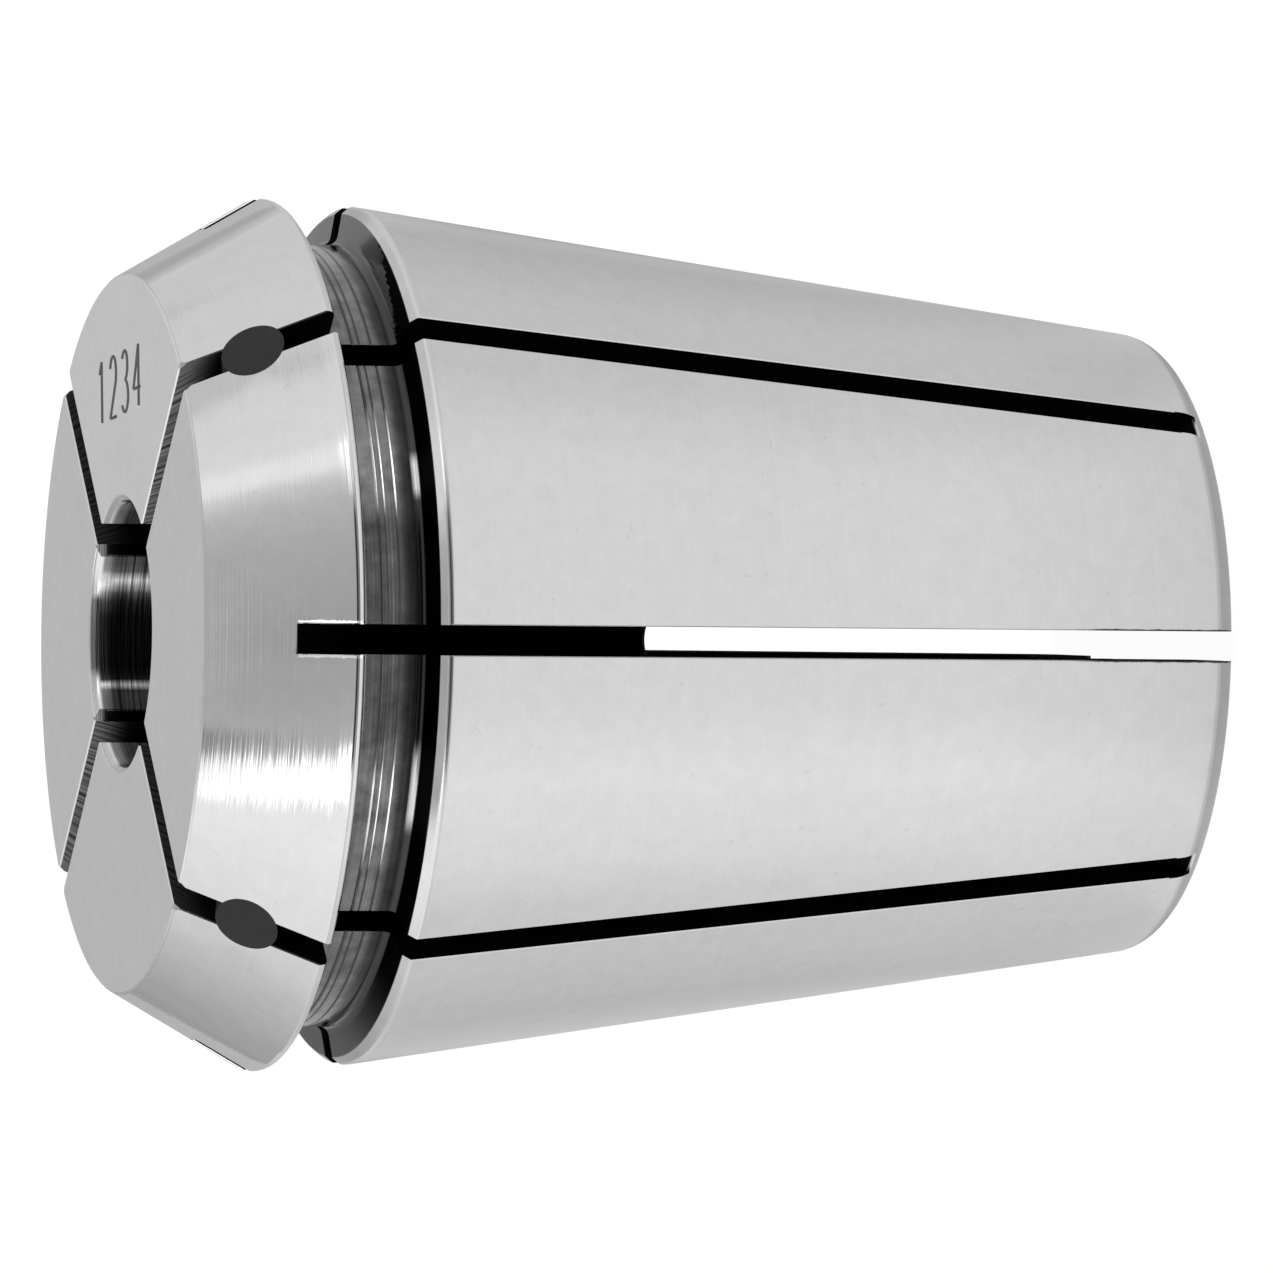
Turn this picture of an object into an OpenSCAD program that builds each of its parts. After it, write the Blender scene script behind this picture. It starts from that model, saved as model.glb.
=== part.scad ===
// Spring collet for tapping: an 8 degree taper body, a 30 degree nose cone,
// a nut groove between them, a round shank bore and a square drive socket.
// It stands on its small end, with +Z along the axis towards the nose.

/* [Overall] */
// Length from the small end to the front face
collet_l = 40; // [39:0.1:42]
// Largest diameter, where the nose cone meets the groove, before its edge is rounded
nose_d = 32.9; // [32:0.1:34]

/* [Nose] */
// Length from the groove to the front face
nose_l = 5.31; // [4.8:0.01:6]
// Angle of the nose cone to the axis
nose_angle = 30; // [26:1:34]
// Radius on the rear edge of the nose
nose_edge_r = 0.24; // [0.1:0.02:0.4]
// Edge break between the front face and the cone
face_break = 0.08; // [0.04:0.01:0.2]

/* [Taper body] */
// Diameter the taper would have at the shoulder, before its edge is broken
body_d = 32.2; // [31.2:0.02:32.6]
// Angle of the taper to the axis
taper_angle = 8; // [7:0.5:9]
// Chamfer on the front edge of the taper
body_chamfer = 0.32; // [0.26:0.02:0.6]
// Radius that blends this chamfer into the taper
body_edge_r = 0.3; // [0.1:0.02:0.36]
// Radius on the small end
small_end_r = 1.42; // [0.6:0.02:2]

/* [Nut groove] */
// Width of the groove at its mouth, between the shoulder and the nose
groove_w = 2.88; // [2.5:0.01:3.3]
// Diameter of the groove floor
groove_d = 29.2; // [28.4:0.1:30]
// Lean of the shoulder away from a plane square to the axis
shoulder_lean = 10; // [0:1:14]
// Fillet radius at both ends of the groove floor
groove_fillet = 0.4; // [0.2:0.05:0.5]
// Depth of a turned line on the groove floor, as a part of its width
turned_depth = 0.4; // [0.2:0.05:0.5]

/* [Bore and square drive] */
// Diameter of the tool shank
shank_d = 10; // [9.5:0.1:11]
// Width across the flats of the square drive
square_w = 8; // [7.5:0.1:9]
// Clearance across the flats
square_clearance = 0.05; // [0.02:0.01:0.2]
// Length of the square drive
square_l = 12; // [9:0.5:13]
// Length of the relief behind the square drive
relief_l = 3; // [2:0.5:4]
// Diameter of the relief
relief_d = 12; // [11.5:0.5:14]
// Chamfer at both mouths, of the bore and of the relief
bore_chamfer = 0.2; // [0.1:0.05:0.5]

/* [Slots] */
// Width of the saw blade
slot_w = 1.1; // [0.8:0.05:1.5]
// Radius of the saw blade
blade_r = 35; // [33:0.5:38]
// Distance from the axis at which the blade passes
blade_reach = 3.5; // [3:0.1:3.9]
// Length of nose left uncut in front of the rear slots
front_web = 2.97; // [2.6:0.02:3.4]
// Length left uncut behind the front slots
rear_web = 0.45; // [0.35:0.05:0.9]
// Edge break along the slots
slot_break = 0.05; // [0.03:0.01:0.1]
// Edge break where the front slots meet the bore
bore_break = 0.25; // [0.1:0.05:0.3]
// Depth of the break on the front face's outer corners, beside the slots
corner_break = 0.12; // [0.06:0.02:0.16]

/* [Sealing plugs] */
// Diameter of a sealing plug
plug_d = 2.3; // [1.8:0.05:2.6]
// Radial clearance of a plug in its hole
plug_clearance = 0.01; // [0.01:0.01:0.05]
// Length of a plug along its centre line
plug_l = 6.5; // [4:0.5:8]
// Distance from the front face to the plug's centre on the cone
plug_set = 2.4; // [2.2:0.05:2.8]
// Lean of a plug towards the front face, from a plane square to the axis
plug_lean = 12; // [0:1:20]

/* [Hidden] */
$fn = 96;

steel = [0.78, 0.78, 0.79];
rubber = [0.17, 0.17, 0.18];

eps = 0.01;
over = 1;
slots_per_end = 4;
pitch = 360 / slots_per_end;

// Heights of the nose's rear edge and of the shoulder's outer edge
nose_z = collet_l - nose_l;
body_l = nose_z - groove_w;

groove_r = groove_d / 2;
shank_r = shank_d / 2;
relief_r = relief_d / 2;

// Radius of the taper and of the nose cone at a height
function taper_r(z) = body_d / 2 - (body_l - z) * tan(taper_angle);
function cone_r(z) = nose_d / 2 - (z - nose_z) * tan(nose_angle);
face_r = cone_r(collet_l);

// The shoulder leans towards the nose on its way in to the groove floor
shoulder_r = taper_r(body_l) - body_chamfer;
shoulder_foot_z = body_l + (shoulder_r - groove_r) * tan(shoulder_lean);
floor_w = nose_z - shoulder_foot_z;

// Turned lines on the groove floor: distance from the shoulder as a part of the
// floor's width, then width
turned_lines = [[0.378, 0.1], [0.54, 0.08], [0.64, 0.12]];

// Points of the corner at b, between a and c, rounded to radius r in n steps
function unit(v) = v / norm(v);
function turn(d) = (d + 540) % 360 - 180;
function rounded(a, b, c, r, n) =
    let (
        u = unit(a - b),
        w = unit(c - b),
        half = acos(u * w) / 2,
        centre = b + unit(u + w) * r / sin(half),
        from = b + u * r / tan(half) - centre,
        to = b + w * r / tan(half) - centre,
        a0 = atan2(from[1], from[0]),
        sweep = turn(atan2(to[1], to[0]) - a0)
    )
    [for (i = [0:n]) centre + r * [cos(a0 + sweep * i / n), sin(a0 + sweep * i / n)]];

// Corners of the outside, from the axis at the small end to the axis at the front
// face: radius, height, corner radius, steps in the corner
corners = concat(
    [
        [0, 0, 0, 0],
        [taper_r(0), 0, small_end_r, 12],
        [taper_r(body_l - body_chamfer), body_l - body_chamfer, body_edge_r, 5],
        [shoulder_r, body_l, 0, 0],
        [groove_r, shoulder_foot_z, groove_fillet, 6]
    ],
    [
        for (line = turned_lines, side = [-1, 0, 1])
            [
                groove_r - (side == 0 ? turned_depth * line[1] : 0),
                shoulder_foot_z + floor_w * line[0] + side * line[1] / 2,
                0,
                0
            ]
    ],
    [
        [groove_r, nose_z, groove_fillet, 6],
        [cone_r(nose_z), nose_z, nose_edge_r, 8],
        [cone_r(collet_l - face_break), collet_l - face_break, 0, 0],
        [face_r - face_break * tan(nose_angle), collet_l, 0, 0],
        [0, collet_l, 0, 0]
    ]
);
function at(i) = [corners[i][0], corners[i][1]];
outline = [
    for (i = [0:len(corners) - 1])
        each corners[i][2] > 0
            ? rounded(at(i - 1), at(i), at(i + 1), corners[i][2], corners[i][3])
            : [at(i)]
];

// Heights of the steps inside
square_bottom = relief_l;
square_top = square_bottom + square_l;
flats = square_w + square_clearance;

// The blade stops with its centre outside the part, level with its deepest reach
blade_cr = blade_r + blade_reach;
rear_stop_z = collet_l - front_web;
rear_blade_z = rear_stop_z - sqrt(pow(blade_r, 2) - pow(blade_cr - cone_r(rear_stop_z), 2));
front_blade_z = rear_web + sqrt(pow(blade_r, 2) - pow(blade_cr - taper_r(0), 2));

// Size of the slab that breaks a corner, thin enough to miss the slot's other wall
corner_cut_w = slot_w;
corner_cut_t = slot_w / 3;

plug_z = collet_l - plug_set;
plug_hole_d = plug_d + 2 * plug_clearance;

// The outside, with no bore and no slots
module outside() {
    rotate_extrude() polygon(outline);
}

// The nose alone, with sharp edges, that the plugs end flush with
module nose_cone() {
    rotate_extrude()
    polygon([[0, nose_z], [cone_r(nose_z), nose_z], [face_r, collet_l], [0, collet_l]]);
}

// Round bore, open at the front face
module shank_bore() {
    rotate_extrude()
    polygon([
        [0, square_top],
        [shank_r, square_top],
        [shank_r, collet_l - bore_chamfer],
        [shank_r + bore_chamfer + eps, collet_l + eps],
        [0, collet_l + eps]
    ]);
}

// Square socket behind the bore, turned so that its corners run in the rear slots
module square_drive() {
    rotate([0, 0, pitch / 2])
    translate([-flats / 2, -flats / 2, square_bottom - eps])
    cube([flats, flats, square_l + 2 * eps]);
}

// Relief behind the square drive, open at the small end
module relief() {
    rotate_extrude()
    polygon([
        [0, -eps],
        [relief_r + bore_chamfer + eps, -eps],
        [relief_r, bore_chamfer],
        [relief_r, square_bottom],
        [0, square_bottom]
    ]);
}

// Slot on the -Y side by a blade that stops with its centre at height z;
// dir is 1 for a slot open at the front face and -1 for one open at the small end
module slot(z, dir) {
    reach = collet_l + over;
    translate([0, -blade_cr, z])
    rotate([0, 90, 0])
    cylinder(r = blade_r, h = slot_w, center = true);
    translate([-slot_w / 2, -blade_cr, dir > 0 ? z : z - reach])
    cube([slot_w, blade_r, reach]);
}

// Square bar, set on edge along a surface from one point to another, that breaks
// both edges of a slot on the -Y side; out is 1 outside and -1 in the bore
module edge_break(r0, z0, r1, z1, size = slot_break, out = 1) {
    lift = 0.2;
    side = (slot_w / 2 + size + lift) * sqrt(2);
    translate([0, -r0, z0])
    rotate([atan2(r1 - r0, z1 - z0), 0, 0])
    translate([0, -out * lift, 0])
    rotate([0, 0, 45])
    translate([-side / 2, -side / 2, 0])
    cube([side, side, norm([r1 - r0, z1 - z0])]);
}

// Slab that cuts the corner between a front slot's wall, the face and the cone
module corner_cut(side) {
    translate([side * slot_w / 2, -face_r, collet_l])
    rotate([0, 0, -side * 45])
    rotate([-45, 0, 0])
    translate([-corner_cut_w / 2, corner_break - corner_cut_t, -corner_cut_w / 2])
    cube([corner_cut_w, corner_cut_t, corner_cut_w]);
}

module rear_slot() {
    edge_z = rear_stop_z - 2 * slot_break;
    slot(rear_blade_z, -1);
    edge_break(taper_r(0), 0, taper_r(body_l + over), body_l + over);
    edge_break(cone_r(nose_z - over), nose_z - over, cone_r(edge_z), edge_z);
}

module front_slot() {
    edge_z = small_end_r;
    slot(front_blade_z, 1);
    edge_break(taper_r(edge_z), edge_z, taper_r(body_l + over), body_l + over);
    edge_break(cone_r(nose_z - over), nose_z - over, cone_r(collet_l + over), collet_l + over);
    edge_break(face_r + over, collet_l, 0, collet_l);
    edge_break(shank_r, square_top + over, shank_r, collet_l + over, bore_break, -1);
    corner_cut(1);
    corner_cut(-1);
}

// Round bar along the plug hole of front slot number i
module plug_bar(i, d) {
    rotate([0, 0, (i + 0.5) * pitch])
    translate([0, -cone_r(plug_z), plug_z])
    rotate([90 - plug_lean, 0, 0])
    translate([0, 0, -plug_l])
    cylinder(d = d, h = plug_l + 2 * over);
}

// The collet in one piece, sawn from both ends in turn
module collet_body() {
    color(steel)
    difference() {
        outside();
        shank_bore();
        square_drive();
        relief();
        for (i = [0:slots_per_end - 1]) {
            rotate([0, 0, i * pitch]) rear_slot();
            rotate([0, 0, (i + 0.5) * pitch]) front_slot();
            plug_bar(i, plug_hole_d);
        }
    }
}

// One plug, pressed into a hole across front slot number i
module sealing_plug(i) {
    color(rubber)
    intersection() {
        plug_bar(i, plug_d);
        nose_cone();
    }
}

collet_body();
sealing_plug(0);  // sealing_plug_1
sealing_plug(1);  // sealing_plug_2
sealing_plug(2);  // sealing_plug_3
sealing_plug(3);  // sealing_plug_4
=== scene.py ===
"""Looks of a tapping collet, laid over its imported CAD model.

The steel body and its four sealing plugs are CAD nodes, so they only get their
finishes here. The numerals on the front face are modelled in this file.
All lengths are metres unless a name ends in _mm. +Z runs along the axis from the
small end, on which the collet stands, to the nose.
"""

import logging
import math
from dataclasses import dataclass, field
from enum import Enum
from typing import Any

import bmesh
import bpy
from mathutils import Euler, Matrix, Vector


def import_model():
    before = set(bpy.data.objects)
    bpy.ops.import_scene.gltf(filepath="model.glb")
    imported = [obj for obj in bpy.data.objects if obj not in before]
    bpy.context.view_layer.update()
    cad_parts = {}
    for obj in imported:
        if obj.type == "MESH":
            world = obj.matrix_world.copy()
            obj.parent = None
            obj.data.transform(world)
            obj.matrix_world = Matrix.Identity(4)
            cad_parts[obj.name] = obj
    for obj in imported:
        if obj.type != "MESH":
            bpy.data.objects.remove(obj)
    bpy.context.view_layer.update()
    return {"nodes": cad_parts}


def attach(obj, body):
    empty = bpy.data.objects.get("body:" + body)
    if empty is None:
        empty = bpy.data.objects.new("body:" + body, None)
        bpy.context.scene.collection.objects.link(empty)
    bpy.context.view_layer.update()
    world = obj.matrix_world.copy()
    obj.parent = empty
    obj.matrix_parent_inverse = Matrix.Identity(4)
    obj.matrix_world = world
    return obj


log = logging.getLogger("collet")

MM = 0.001

Socket = bpy.types.NodeSocket
Sockets = dict[str, Socket]
Value = float | tuple[float, ...] | Socket
Pair = tuple[float, float]
Points = tuple[Pair, ...]


class Graph:
    """Adds nodes to one node tree and wires them up."""

    def __init__(self, tree: bpy.types.NodeTree) -> None:
        """Takes over a node tree.

        Args:
            tree: The tree of a material, of the world or of a node group.
        """
        self.tree = tree

    def feed(self, socket: Socket, value: Value) -> None:
        """Links a socket to another one, or sets its plain value."""
        if isinstance(value, bpy.types.NodeSocket):
            self.tree.links.new(value, socket)
        else:
            socket.default_value = value

    def node(
        self, kind: str, inputs: dict[Any, Value] | None = None, **settings: Any
    ) -> bpy.types.Node:
        """Adds one node.

        Args:
            kind: The node's type name without its ShaderNode prefix.
            inputs: Values or sockets for its inputs, by name or number.
            **settings: Properties of the node.

        Returns:
            The new node.
        """
        made = self.tree.nodes.new("ShaderNode" + kind)
        for name, value in settings.items():
            setattr(made, name, value)
        for key, value in (inputs or {}).items():
            self.feed(made.inputs[key], value)
        return made

    def math(self, operation: str, *values: Value) -> Socket:
        """Adds a Math node and returns its result."""
        made = self.node("Math", operation=operation)
        for socket, value in zip(made.inputs, values):
            self.feed(socket, value)
        return made.outputs[0]

    def chain(self, operation: str, *values: Value) -> Socket:
        """Joins any number of values with one operation, such as ADD or MAXIMUM."""
        result = values[0]
        for value in values[1:]:
            result = self.math(operation, result, value)
        return result

    def times(self, *values: Value) -> Socket:
        """Multiplies any number of values."""
        return self.chain("MULTIPLY", *values)

    def plus(self, *values: Value) -> Socket:
        """Adds up any number of values."""
        return self.chain("ADD", *values)

    def minus(self, value: Value, taken: Value) -> Socket:
        """Takes the second value from the first."""
        return self.math("SUBTRACT", value, taken)

    def step(self, value: Value, start: float, end: float) -> Socket:
        """Rises smoothly from 0 at start to 1 at end, and falls where end is less.

        Args:
            value: What the step goes by.
            start: The value up to which the result is 0.
            end: The value from which it is 1.

        Returns:
            The result, between 0 and 1.
        """
        low, high = min(start, end), max(start, end)
        made = self.node(
            "MapRange",
            {"Value": value, "From Min": low, "From Max": high},
            interpolation_type="SMOOTHSTEP",
        )
        self.feed(made.inputs["To Min"], 0.0 if start < end else 1.0)
        self.feed(made.inputs["To Max"], 1.0 if start < end else 0.0)
        return made.outputs["Result"]

    def band(self, value: Value, low: float, high: float, soft: float) -> Socket:
        """Is 1 between low and high, with edges that are soft wide."""
        rise = self.step(value, low - soft / 2, low + soft / 2)
        fall = self.step(value, high + soft / 2, high - soft / 2)
        return self.times(rise, fall)

    def curve(self, value: Value, points: Points) -> Socket:
        """Follows straight lines from point to point.

        Args:
            value: What the curve goes by.
            points: Each one a value and the level there, with rising values.

        Returns:
            The level, which is flat before the first point and after the last.
        """
        total: Value = points[0][1]
        for (start, low), (end, high) in zip(points, points[1:]):
            part = self.node(
                "MapRange",
                {"Value": value, "From Min": start, "From Max": end, "To Min": 0.0},
            )
            self.feed(part.inputs["To Max"], high - low)
            total = self.plus(total, part.outputs["Result"])
        return total

    def finish(self, kind: str, shader: bpy.types.Node) -> None:
        """Gives a shader to a new output node: OutputMaterial or OutputWorld."""
        self.feed(self.node(kind).inputs["Surface"], shader.outputs[0])

    def bearing(self, x: Socket, y: Socket) -> Socket:
        """Returns a direction's turn from the front, -Y, towards +X, in degrees."""
        return self.math("DEGREES", self.math("ARCTAN2", x, self.times(y, -1.0)))

    def mix(self, share: Value, low: Value, high: Value) -> Socket:
        """Mixes two numbers by share."""
        made = self.node("Mix", {0: share, 2: low, 3: high}, data_type="FLOAT")
        return made.outputs[0]

    def grey(self, value: Value) -> Socket:
        """Turns a number into a neutral colour."""
        made = self.node("CombineColor", {0: value, 1: value, 2: value})
        return made.outputs[0]

    def split(self, vector: Socket) -> tuple[Socket, Socket, Socket]:
        """Returns the three parts of a vector."""
        made = self.node("SeparateXYZ", {0: vector})
        return made.outputs[0], made.outputs[1], made.outputs[2]

    def vector(self, x: Value, y: Value, z: Value) -> Socket:
        """Joins three numbers into a vector."""
        return self.node("CombineXYZ", {0: x, 1: y, 2: z}).outputs[0]

    def scaled(self, vector: Socket, factor: Value) -> Socket:
        """Multiplies a vector by a number."""
        return self.node("VectorMath", {0: vector, 3: factor}, operation="SCALE").outputs[0]

    def noise(self, vector: Socket, detail: float = 2.0, rough: float = 0.5) -> Socket:
        """Adds a noise texture at scale 1 and returns its value from 0 to 1."""
        made = self.node(
            "TexNoise",
            {"Vector": vector, "Scale": 1.0, "Detail": detail, "Roughness": rough},
        )
        return made.outputs[0]


class NodeGroup(Enum):
    """Shader node groups that more than one finish uses."""

    PLACE = "collet_place"
    LATHE_LINES = "lathe_lines"
    HANDLING = "handling_marks"


def group_tree(
    kind: NodeGroup, inputs: dict[str, float], outputs: tuple[str, ...]
) -> tuple[bpy.types.NodeTree, Graph, Sockets, bpy.types.Node]:
    """Starts a shader node group.

    Args:
        kind: Which group it is.
        inputs: Input names with their defaults.
        outputs: Output names.

    Returns:
        The tree, a graph over it, its input sockets by name and its output node.
    """
    tree = bpy.data.node_groups.new(kind.value, "ShaderNodeTree")
    for name, default in inputs.items():
        made = tree.interface.new_socket(name, in_out="INPUT", socket_type="NodeSocketFloat")
        made.default_value = default
    for name in outputs:
        tree.interface.new_socket(name, in_out="OUTPUT", socket_type="NodeSocketFloat")
    graph = Graph(tree)
    entry = tree.nodes.new("NodeGroupInput")
    leave = tree.nodes.new("NodeGroupOutput")
    return tree, graph, {name: entry.outputs[name] for name in inputs}, leave


def use_group(graph: Graph, tree: bpy.types.NodeTree, **inputs: Value) -> Sockets:
    """Places a node group in a material.

    Args:
        graph: Where it goes.
        tree: The group.
        **inputs: Its inputs, with _ for a space in their names.

    Returns:
        Its outputs by name.
    """
    made = graph.node("Group", node_tree=tree)
    for name, value in inputs.items():
        graph.feed(made.inputs[name.replace("_", " ")], value)
    return {socket.name: socket for socket in made.outputs}


PLACE_OUTPUTS = ("radius", "height", "cos", "sin", "slot", "lit", "saw", "edge", "to x", "to y")


@dataclass(frozen=True)
class PlaceMap:
    """Works out where a point of the collet lies, in millimetres.

    A slot's floor lies deeper under the turned outline than spare_mm, which goes by
    the height. A side is the part of the normal at which a wall starts, and the
    part from which it is one.
    """

    blade_r_mm: float = 35.0
    blade_centre_mm: float = 38.5
    slot_w_mm: float = 1.1
    rear_end_mm: float = 37.0
    front_end_mm: float = 0.45
    small_end_r_mm: float = 1.42
    rounding_steps: int = 4
    taper_angle: float = 8.0
    shoulder_mm: float = 31.81
    shoulder_r_mm: float = 16.1
    groove_r_mm: float = 14.6
    nose_mm: float = 34.69
    nose_r_mm: float = 16.45
    nose_angle: float = 30.0
    face_mm: float = 40.0
    relief_mm: float = 3.0
    relief_r_mm: Pair = (7.0, 7.5)
    spare_mm: Points = ((31.0, 0.12), (31.2, 0.45), (35.9, 0.45), (36.1, 0.12))
    bore_r_mm: Pair = (5.02, 5.06)
    mouth_mm: Pair = (39.6, 39.5)
    soft_mm: float = 0.1
    wall_side: Pair = (0.8, 0.95)
    floor_side: Pair = (0.97, 0.93)
    lit_side: Pair = (-1.2, -1.4)
    front_cross: float = 0.25

    def rounding(self, foot_r: float) -> list[Pair]:
        """Returns the small end's rounding, from its face up to the taper.

        Args:
            foot_r: The radius at which the taper would meet the small end's face.

        Returns:
            Points of the arc, each a height and a radius.
        """
        taper, size = math.radians(self.taper_angle), self.small_end_r_mm
        centre_r = foot_r + size * (math.tan(taper) - 1.0 / math.cos(taper))
        sweep = math.pi / 2 - taper
        steps = self.rounding_steps
        turns = [-math.pi / 2 + sweep * i / steps for i in range(steps + 1)]
        return [(size + size * math.sin(a), centre_r + size * math.cos(a)) for a in turns]

    def outline(self) -> Points:
        """Returns points of the turned outline, each a height and a radius."""
        foot_r = self.shoulder_r_mm - self.shoulder_mm * math.tan(math.radians(self.taper_angle))
        nose_mm = self.face_mm - self.nose_mm
        face_r = self.nose_r_mm - nose_mm * math.tan(math.radians(self.nose_angle))
        return (
            *self.rounding(foot_r),
            (self.shoulder_mm, self.shoulder_r_mm),
            (self.shoulder_mm + self.soft_mm, self.groove_r_mm),
            (self.nose_mm - self.soft_mm, self.groove_r_mm),
            (self.nose_mm, self.nose_r_mm),
            (self.face_mm, face_r),
        )

    def build(self) -> bpy.types.NodeTree:
        """Builds the node group.

        Returns:
            A group with the outputs radius and height, cos and sin of the direction
            from the axis, slot, which is 1 on a slot's walls and floor, lit, which is
            1 on walls that face the light, saw, the place along the blade's feed,
            edge, the distance from the nearest rear slot's edge, and to x and to y,
            the direction towards that slot.
        """
        tree, g, _, leave = group_tree(NodeGroup.PLACE, {}, PLACE_OUTPUTS)
        coord = g.node("TexCoord")
        x, y, z = g.split(coord.outputs["Object"])
        nx, ny, nz = g.split(coord.outputs["Normal"])
        reach = g.math("SQRT", g.plus(g.times(x, x), g.times(y, y)))
        safe = g.math("MAXIMUM", reach, MM * MM)
        cos, sin = g.math("DIVIDE", x, safe), g.math("DIVIDE", y, safe)
        radius = g.math("DIVIDE", reach, MM)
        height = g.math("DIVIDE", z, MM)
        side = g.minus(g.times(ny, cos), g.times(nx, sin))
        wall = g.step(g.math("ABSOLUTE", side), *self.wall_side)
        depth = g.minus(g.curve(height, self.outline()), radius)
        spare = g.curve(height, self.spare_mm)
        # A front slot's floor comes out on the small end's rounding
        low = g.mix(g.step(radius, *self.relief_r_mm), self.relief_mm, self.front_end_mm)
        floor = g.times(
            g.step(g.minus(depth, spare), -self.soft_mm / 2, self.soft_mm / 2),
            g.step(g.math("ABSOLUTE", nz), *self.floor_side),
            g.step(g.minus(height, low), 0.0, self.soft_mm),
            g.step(radius, *self.bore_r_mm),
            g.step(height, *self.mouth_mm),
        )
        slot = g.math("MAXIMUM", wall, floor)
        # Front slots lie where |cos| equals |sin|, rear slots where one of them is 0
        cross = g.math("ABSOLUTE", g.times(cos, sin))
        front = g.math("GREATER_THAN", cross, self.front_cross)
        across = g.minus(self.blade_centre_mm, radius)
        room = g.minus(self.blade_r_mm**2, g.times(across, across))
        arc = g.math("SQRT", g.math("MAXIMUM", room, 0.0))
        sign = g.mix(front, -1.0, 1.0)
        saw = g.plus(height, g.times(arc, sign))
        lit = g.step(g.plus(nx, ny), *self.lit_side)
        wide, tall = g.math("ABSOLUTE", x), g.math("ABSOLUTE", y)
        aside = g.math("DIVIDE", g.math("MINIMUM", wide, tall), MM)
        edge = g.math(
            "MAXIMUM",
            g.minus(aside, self.slot_w_mm / 2),
            g.minus(height, self.rear_end_mm),
        )
        by_x = g.math("LESS_THAN", wide, tall)
        to_x = g.times(g.math("SIGN", x), g.mix(by_x, 0.0, -1.0))
        to_y = g.times(g.math("SIGN", y), g.mix(by_x, -1.0, 0.0))
        results = (radius, height, cos, sin, slot, lit, saw, edge, to_x, to_y)
        for socket, result in zip(leave.inputs, results):
            g.feed(socket, result)
        return tree


@dataclass(frozen=True)
class LatheLines:
    """Fine lines round the axis, as turning, grinding and boring leave them."""

    detail: float = 2.0
    rough: float = 0.6

    def build(self) -> bpy.types.NodeTree:
        """Builds the node group.

        Returns:
            A group that gives lines of the pitch asked for, between 0 and 1.
        """
        tree, g, taken, leave = group_tree(
            NodeGroup.LATHE_LINES,
            {"along": 0.0, "cos": 1.0, "sin": 0.0, "lines per mm": 8.0, "length": 1.0},
            ("lines",),
        )
        fine = g.times(taken["along"], taken["lines per mm"])
        turn = g.math("DIVIDE", 1.0, taken["length"])
        vector = g.vector(
            g.times(taken["cos"], turn),
            g.times(taken["sin"], turn),
            fine,
        )
        g.feed(leave.inputs["lines"], g.noise(vector, self.detail, self.rough))
        return tree


@dataclass(frozen=True)
class HandlingMarks:
    """Faint clouds and specks of oil film and handling."""

    cloud_mm: float = 3.0
    cloud_detail: float = 4.0
    cloud_rough: float = 0.6
    specks_per_cloud: float = 9.0
    speck_detail: float = 1.0
    speck_levels: Pair = (0.72, 0.8)

    def build(self) -> bpy.types.NodeTree:
        """Builds the node group.

        Returns:
            A group that gives a cloud pattern and sparse specks, between 0 and 1.
        """
        tree, g, taken, leave = group_tree(
            NodeGroup.HANDLING, {"size mm": self.cloud_mm}, ("cloud", "specks")
        )
        coord = g.node("TexCoord").outputs["Object"]
        scale = g.math("DIVIDE", 1.0 / MM, taken["size mm"])
        wide = g.scaled(coord, scale)
        fine = g.scaled(wide, self.specks_per_cloud)
        specks = g.noise(fine, self.speck_detail)
        g.feed(leave.inputs["cloud"], g.noise(wide, self.cloud_detail, self.cloud_rough))
        g.feed(leave.inputs["specks"], g.step(specks, *self.speck_levels))
        return tree


@dataclass(frozen=True)
class ShaderGroups:
    """The node groups, built once."""

    place: bpy.types.NodeTree
    lines: bpy.types.NodeTree
    handling: bpy.types.NodeTree

    @classmethod
    def build(cls) -> "ShaderGroups":
        """Builds every group."""
        return cls(PlaceMap().build(), LatheLines().build(), HandlingMarks().build())


def new_material(name: str) -> tuple[bpy.types.Material, Graph]:
    """Starts a node material.

    Args:
        name: The material's name.

    Returns:
        The material and a graph over its empty tree.
    """
    material = bpy.data.materials.new(name)
    material.use_nodes = True
    material.node_tree.nodes.clear()
    return material, Graph(material.node_tree)


def new_object(name: str, data: bpy.types.ID) -> bpy.types.Object:
    """Adds an object to the scene.

    Args:
        name: Its name.
        data: Its mesh, curve or camera.

    Returns:
        The object, at the origin.
    """
    made = bpy.data.objects.new(name, data)
    bpy.context.scene.collection.objects.link(made)
    return made


@dataclass(frozen=True)
class SteelZones:
    """Where each kind of surface lies on the collet: sockets that are 1 inside it."""

    face: Socket
    bore: Socket
    slot: Socket
    cone: Socket
    groove: Socket
    shoulder: Socket
    edge: Socket


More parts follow.
